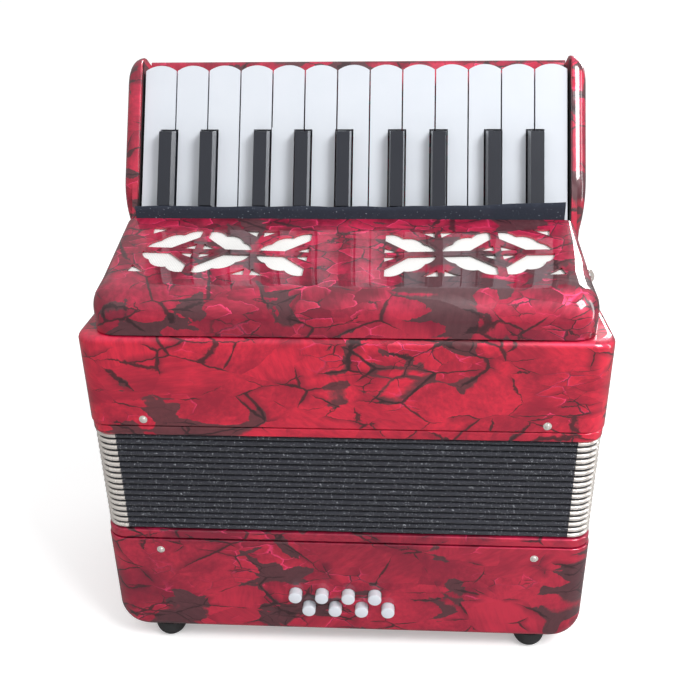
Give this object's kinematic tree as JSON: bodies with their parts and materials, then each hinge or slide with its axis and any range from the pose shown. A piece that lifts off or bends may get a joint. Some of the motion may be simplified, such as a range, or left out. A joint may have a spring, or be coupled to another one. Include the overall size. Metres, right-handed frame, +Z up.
{
  "type": "piano accordion",
  "caption": "Child's piano accordion with a leaning keyboard, pierced grille, folded bellows and bass buttons, standing on its bass end with the bellows shut.",
  "frame": {"origin": "centre of the footprint of the two boxes, on the floor plane under the rubber feet", "axes": "+X along the keyboard to its low end, -Y to the front where the grille faces, +Z up from the bass end to the keyboard"},
  "size_m": [0.299, 0.1563, 0.3274],
  "materials": {
    "pearl_red": "glossy pearl celluloid",
    "frame_red": "glossy",
    "nickel": "polished",
    "rubber_black": "matt",
    "strap_leather": "grained",
    "spruce": "satin",
    "reed_metal": "brushed",
    "spring_brass": "satin",
    "bellows_tape": "woven tape",
    "grille_cloth": "fine weave",
    "felt": "felt",
    "key_white": "gloss",
    "key_black": "gloss"
  },
  "bodies": {
    "bass_section": {"bass_casework": "pearl_red", "bass_end_cover": "pearl_red", "bass_cover_screws": "nickel", "bass_feet": "rubber_black", "bass_strap": "strap_leather", "bass_strap_fittings": "nickel", "bass_soundboard": "spruce", "bass_reed_block": "spruce", "bass_reed_plates": "reed_metal", "bass_valve_plate": "spruce", "bass_button_springs": "spring_brass", "bass_bellows_frame": "frame_red", "bass_bellows_pins": "nickel", "bellows_pleats": "bellows_tape", "bellows_corners": "nickel"},
    "treble_section": {"bellows_straps": "strap_leather", "treble_bellows_frame": "frame_red", "treble_bellows_pins": "nickel", "treble_casework": "pearl_red", "treble_soundboard": "spruce", "treble_reed_blocks": "spruce", "treble_reed_plates": "reed_metal", "grille": "pearl_red", "grille_cloth": "grille_cloth", "keyboard_base": "pearl_red", "key_axle": "nickel", "key_springs": "spring_brass", "key_felt_strip": "felt", "strap_brackets": "nickel"},
    "key_01": {"key_01": "key_white"},
    "key_02": {"key_02": "key_black"},
    "key_03": {"key_03": "key_white"},
    "key_04": {"key_04": "key_black"},
    "key_05": {"key_05": "key_white"},
    "key_06": {"key_06": "key_white"},
    "key_07": {"key_07": "key_black"},
    "key_08": {"key_08": "key_white"},
    "key_09": {"key_09": "key_black"},
    "key_10": {"key_10": "key_white"},
    "key_11": {"key_11": "key_black"},
    "key_12": {"key_12": "key_white"},
    "key_13": {"key_13": "key_white"},
    "key_14": {"key_14": "key_black"},
    "key_15": {"key_15": "key_white"},
    "key_16": {"key_16": "key_black"},
    "key_17": {"key_17": "key_white"},
    "key_18": {"key_18": "key_white"},
    "key_19": {"key_19": "key_black"},
    "key_20": {"key_20": "key_white"},
    "key_21": {"key_21": "key_black"},
    "key_22": {"key_22": "key_white"},
    "bass_button_1": {"bass_button_1": "key_white"},
    "bass_button_2": {"bass_button_2": "key_white"},
    "bass_button_3": {"bass_button_3": "key_white"},
    "bass_button_4": {"bass_button_4": "key_white"},
    "bass_button_5": {"bass_button_5": "key_white"},
    "bass_button_6": {"bass_button_6": "key_white"},
    "bass_button_7": {"bass_button_7": "key_white"},
    "bass_button_8": {"bass_button_8": "key_white"},
    "air_button": {"air_button": "key_white"}
  },
  "joints": [
    {"name": "bellows_open", "type": "slide", "parent": "bass_section", "child": "treble_section", "axis": [0, 0, 1], "range_m": [0, 0.18], "deforming": ["bellows_pleats", "bellows_corners"]},
    {"name": "press_key_01", "type": "hinge", "parent": "treble_section", "child": "key_01", "pos_m": [0.0018, 0.00143, 0.23718], "axis": [-1, 0, 0], "range_deg": [0, 3], "stiffness_Nm_per_rad": 0.3, "springref_deg": -14.32},
    {"name": "press_key_02", "type": "hinge", "parent": "treble_section", "child": "key_02", "pos_m": [0.0018, 0.00143, 0.23718], "axis": [-1, 0, 0], "range_deg": [0, 3], "stiffness_Nm_per_rad": 0.3, "springref_deg": -14.32},
    {"name": "press_key_03", "type": "hinge", "parent": "treble_section", "child": "key_03", "pos_m": [0.0018, 0.00143, 0.23718], "axis": [-1, 0, 0], "range_deg": [0, 3], "stiffness_Nm_per_rad": 0.3, "springref_deg": -14.32},
    {"name": "press_key_04", "type": "hinge", "parent": "treble_section", "child": "key_04", "pos_m": [0.0018, 0.00143, 0.23718], "axis": [-1, 0, 0], "range_deg": [0, 3], "stiffness_Nm_per_rad": 0.3, "springref_deg": -14.32},
    {"name": "press_key_05", "type": "hinge", "parent": "treble_section", "child": "key_05", "pos_m": [0.0018, 0.00143, 0.23718], "axis": [-1, 0, 0], "range_deg": [0, 3], "stiffness_Nm_per_rad": 0.3, "springref_deg": -14.32},
    {"name": "press_key_06", "type": "hinge", "parent": "treble_section", "child": "key_06", "pos_m": [0.0018, 0.00143, 0.23718], "axis": [-1, 0, 0], "range_deg": [0, 3], "stiffness_Nm_per_rad": 0.3, "springref_deg": -14.32},
    {"name": "press_key_07", "type": "hinge", "parent": "treble_section", "child": "key_07", "pos_m": [0.0018, 0.00143, 0.23718], "axis": [-1, 0, 0], "range_deg": [0, 3], "stiffness_Nm_per_rad": 0.3, "springref_deg": -14.32},
    {"name": "press_key_08", "type": "hinge", "parent": "treble_section", "child": "key_08", "pos_m": [0.0018, 0.00143, 0.23718], "axis": [-1, 0, 0], "range_deg": [0, 3], "stiffness_Nm_per_rad": 0.3, "springref_deg": -14.32},
    {"name": "press_key_09", "type": "hinge", "parent": "treble_section", "child": "key_09", "pos_m": [0.0018, 0.00143, 0.23718], "axis": [-1, 0, 0], "range_deg": [0, 3], "stiffness_Nm_per_rad": 0.3, "springref_deg": -14.32},
    {"name": "press_key_10", "type": "hinge", "parent": "treble_section", "child": "key_10", "pos_m": [0.0018, 0.00143, 0.23718], "axis": [-1, 0, 0], "range_deg": [0, 3], "stiffness_Nm_per_rad": 0.3, "springref_deg": -14.32},
    {"name": "press_key_11", "type": "hinge", "parent": "treble_section", "child": "key_11", "pos_m": [0.0018, 0.00143, 0.23718], "axis": [-1, 0, 0], "range_deg": [0, 3], "stiffness_Nm_per_rad": 0.3, "springref_deg": -14.32},
    {"name": "press_key_12", "type": "hinge", "parent": "treble_section", "child": "key_12", "pos_m": [0.0018, 0.00143, 0.23718], "axis": [-1, 0, 0], "range_deg": [0, 3], "stiffness_Nm_per_rad": 0.3, "springref_deg": -14.32},
    {"name": "press_key_13", "type": "hinge", "parent": "treble_section", "child": "key_13", "pos_m": [0.0018, 0.00143, 0.23718], "axis": [-1, 0, 0], "range_deg": [0, 3], "stiffness_Nm_per_rad": 0.3, "springref_deg": -14.32},
    {"name": "press_key_14", "type": "hinge", "parent": "treble_section", "child": "key_14", "pos_m": [0.0018, 0.00143, 0.23718], "axis": [-1, 0, 0], "range_deg": [0, 3], "stiffness_Nm_per_rad": 0.3, "springref_deg": -14.32},
    {"name": "press_key_15", "type": "hinge", "parent": "treble_section", "child": "key_15", "pos_m": [0.0018, 0.00143, 0.23718], "axis": [-1, 0, 0], "range_deg": [0, 3], "stiffness_Nm_per_rad": 0.3, "springref_deg": -14.32},
    {"name": "press_key_16", "type": "hinge", "parent": "treble_section", "child": "key_16", "pos_m": [0.0018, 0.00143, 0.23718], "axis": [-1, 0, 0], "range_deg": [0, 3], "stiffness_Nm_per_rad": 0.3, "springref_deg": -14.32},
    {"name": "press_key_17", "type": "hinge", "parent": "treble_section", "child": "key_17", "pos_m": [0.0018, 0.00143, 0.23718], "axis": [-1, 0, 0], "range_deg": [0, 3], "stiffness_Nm_per_rad": 0.3, "springref_deg": -14.32},
    {"name": "press_key_18", "type": "hinge", "parent": "treble_section", "child": "key_18", "pos_m": [0.0018, 0.00143, 0.23718], "axis": [-1, 0, 0], "range_deg": [0, 3], "stiffness_Nm_per_rad": 0.3, "springref_deg": -14.32},
    {"name": "press_key_19", "type": "hinge", "parent": "treble_section", "child": "key_19", "pos_m": [0.0018, 0.00143, 0.23718], "axis": [-1, 0, 0], "range_deg": [0, 3], "stiffness_Nm_per_rad": 0.3, "springref_deg": -14.32},
    {"name": "press_key_20", "type": "hinge", "parent": "treble_section", "child": "key_20", "pos_m": [0.0018, 0.00143, 0.23718], "axis": [-1, 0, 0], "range_deg": [0, 3], "stiffness_Nm_per_rad": 0.3, "springref_deg": -14.32},
    {"name": "press_key_21", "type": "hinge", "parent": "treble_section", "child": "key_21", "pos_m": [0.0018, 0.00143, 0.23718], "axis": [-1, 0, 0], "range_deg": [0, 3], "stiffness_Nm_per_rad": 0.3, "springref_deg": -14.32},
    {"name": "press_key_22", "type": "hinge", "parent": "treble_section", "child": "key_22", "pos_m": [0.0018, 0.00143, 0.23718], "axis": [-1, 0, 0], "range_deg": [0, 3], "stiffness_Nm_per_rad": 0.3, "springref_deg": -14.32},
    {"name": "press_bass_button_1", "type": "slide", "parent": "bass_section", "child": "bass_button_1", "axis": [0, 1, 0], "range_m": [0, 0.004], "stiffness_N_per_m": 150, "springref_m": -0.004},
    {"name": "press_bass_button_2", "type": "slide", "parent": "bass_section", "child": "bass_button_2", "axis": [0, 1, 0], "range_m": [0, 0.004], "stiffness_N_per_m": 150, "springref_m": -0.004},
    {"name": "press_bass_button_3", "type": "slide", "parent": "bass_section", "child": "bass_button_3", "axis": [0, 1, 0], "range_m": [0, 0.004], "stiffness_N_per_m": 150, "springref_m": -0.004},
    {"name": "press_bass_button_4", "type": "slide", "parent": "bass_section", "child": "bass_button_4", "axis": [0, 1, 0], "range_m": [0, 0.004], "stiffness_N_per_m": 150, "springref_m": -0.004},
    {"name": "press_bass_button_5", "type": "slide", "parent": "bass_section", "child": "bass_button_5", "axis": [0, 1, 0], "range_m": [0, 0.004], "stiffness_N_per_m": 150, "springref_m": -0.004},
    {"name": "press_bass_button_6", "type": "slide", "parent": "bass_section", "child": "bass_button_6", "axis": [0, 1, 0], "range_m": [0, 0.004], "stiffness_N_per_m": 150, "springref_m": -0.004},
    {"name": "press_bass_button_7", "type": "slide", "parent": "bass_section", "child": "bass_button_7", "axis": [0, 1, 0], "range_m": [0, 0.004], "stiffness_N_per_m": 150, "springref_m": -0.004},
    {"name": "press_bass_button_8", "type": "slide", "parent": "bass_section", "child": "bass_button_8", "axis": [0, 1, 0], "range_m": [0, 0.004], "stiffness_N_per_m": 150, "springref_m": -0.004},
    {"name": "press_air_button", "type": "slide", "parent": "bass_section", "child": "air_button", "axis": [0, 0, 1], "range_m": [0, 0.004], "stiffness_N_per_m": 150, "springref_m": -0.004}
  ]
}
